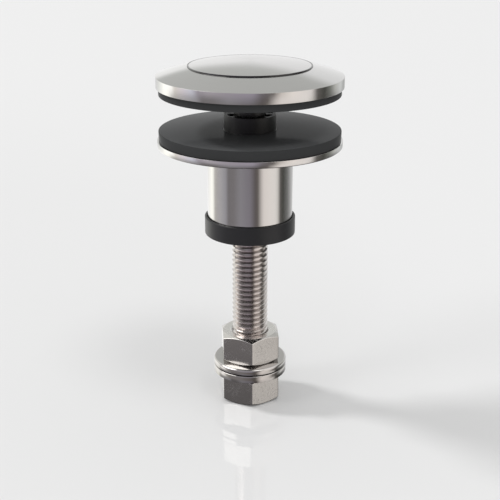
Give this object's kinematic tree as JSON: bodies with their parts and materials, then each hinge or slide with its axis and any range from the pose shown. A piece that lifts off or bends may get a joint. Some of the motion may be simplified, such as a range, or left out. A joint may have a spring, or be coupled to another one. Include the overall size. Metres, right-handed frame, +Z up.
{
  "type": "glass panel standoff",
  "caption": "Swivelling point fixing for a glass panel: domed clamping disc and rear disc with rubber gaskets, ball joint body, threaded stud with nuts and washers.",
  "frame": {"origin": "centre of the lower nut's underside, which the part stands on, on the stud's axis", "axes": "+Z up the stud's axis towards the domed cap, -Y towards the viewer"},
  "size_m": [0.06, 0.06, 0.1175],
  "materials": {
    "turned_steel": "finely turned and brushed stainless steel",
    "stud_steel": "bright rolled thread",
    "nut_steel": "pressed stainless steel, lightly mottled flats",
    "washer_steel": "polished, rounded rim",
    "screw_steel": "plain stainless steel",
    "gasket_rubber": "matt EPDM rubber",
    "boot_rubber": "satin moulded rubber",
    "seal_rubber": "matt rubber",
    "bush_nylon": "moulded black nylon",
    "seat_polymer": "turned acetal"
  },
  "bodies": {
    "foot": {"lower_nut": "nut_steel"},
    "loose_washer": {"lower_washer": "washer_steel"},
    "stud": {"ball_stud": "stud_steel"},
    "carried_washer": {"upper_washer": "washer_steel"},
    "jam_nut": {"upper_nut": "nut_steel"},
    "bearing": {"upper_seat": "seat_polymer", "lower_seat": "seat_polymer"},
    "head": {"housing": "turned_steel", "retaining_ring": "turned_steel", "dust_boot": "boot_rubber", "rear_gasket": "gasket_rubber", "glass_bush": "bush_nylon"},
    "lining": {"front_gasket": "gasket_rubber"},
    "front": {"front_disc": "turned_steel", "clamp_screw": "screw_steel"},
    "cap": {"cover_cap": "turned_steel", "cap_seal": "seal_rubber"}
  },
  "joints": [
    {"name": "stud_turn", "type": "hinge", "parent": "foot", "child": "loose_washer", "pos_m": [0, 0, 0.01], "axis": [0, 0, 1], "range_deg": [0, 1980]},
    {"name": "stud_rise", "type": "slide", "parent": "loose_washer", "child": "stud", "axis": [0, 0, 1], "range_m": [0, 0.00962]},
    {"name": "upper_nut_rise", "type": "slide", "parent": "stud", "child": "carried_washer", "axis": [0, 0, 1], "range_m": [0, 0.02976]},
    {"name": "upper_nut_turn", "type": "hinge", "parent": "carried_washer", "child": "jam_nut", "pos_m": [0, 0, 0.02], "axis": [0, 0, 1], "range_deg": [0, 6120]},
    {"name": "ball_tilt", "type": "hinge", "parent": "stud", "child": "bearing", "pos_m": [0, 0, 0.0715], "axis": [1, 0, 0], "range_deg": [-10, 10]},
    {"name": "head_turn", "type": "hinge", "parent": "bearing", "child": "head", "pos_m": [0, 0, 0.0715], "axis": [0, 0, 1], "continuous": true},
    {"name": "front_rise", "type": "slide", "parent": "head", "child": "lining", "axis": [0, 0, 1], "range_m": [0, 0.01001]},
    {"name": "front_turn", "type": "hinge", "parent": "lining", "child": "front", "pos_m": [0, 0, 0.1094], "axis": [0, 0, 1], "range_deg": [0, 2880]},
    {"name": "cap_pull", "type": "slide", "parent": "front", "child": "cap", "axis": [0, 0, 1], "range_m": [0, 0.008]}
  ],
  "couplings": [
    {"joint": "stud_turn", "follows": "stud_rise", "rad_per_m": 3590.4},
    {"joint": "upper_nut_rise", "follows": "upper_nut_turn", "m_per_rad": 0.00027852},
    {"joint": "front_rise", "follows": "front_turn", "m_per_rad": 0.00019894}
  ]
}
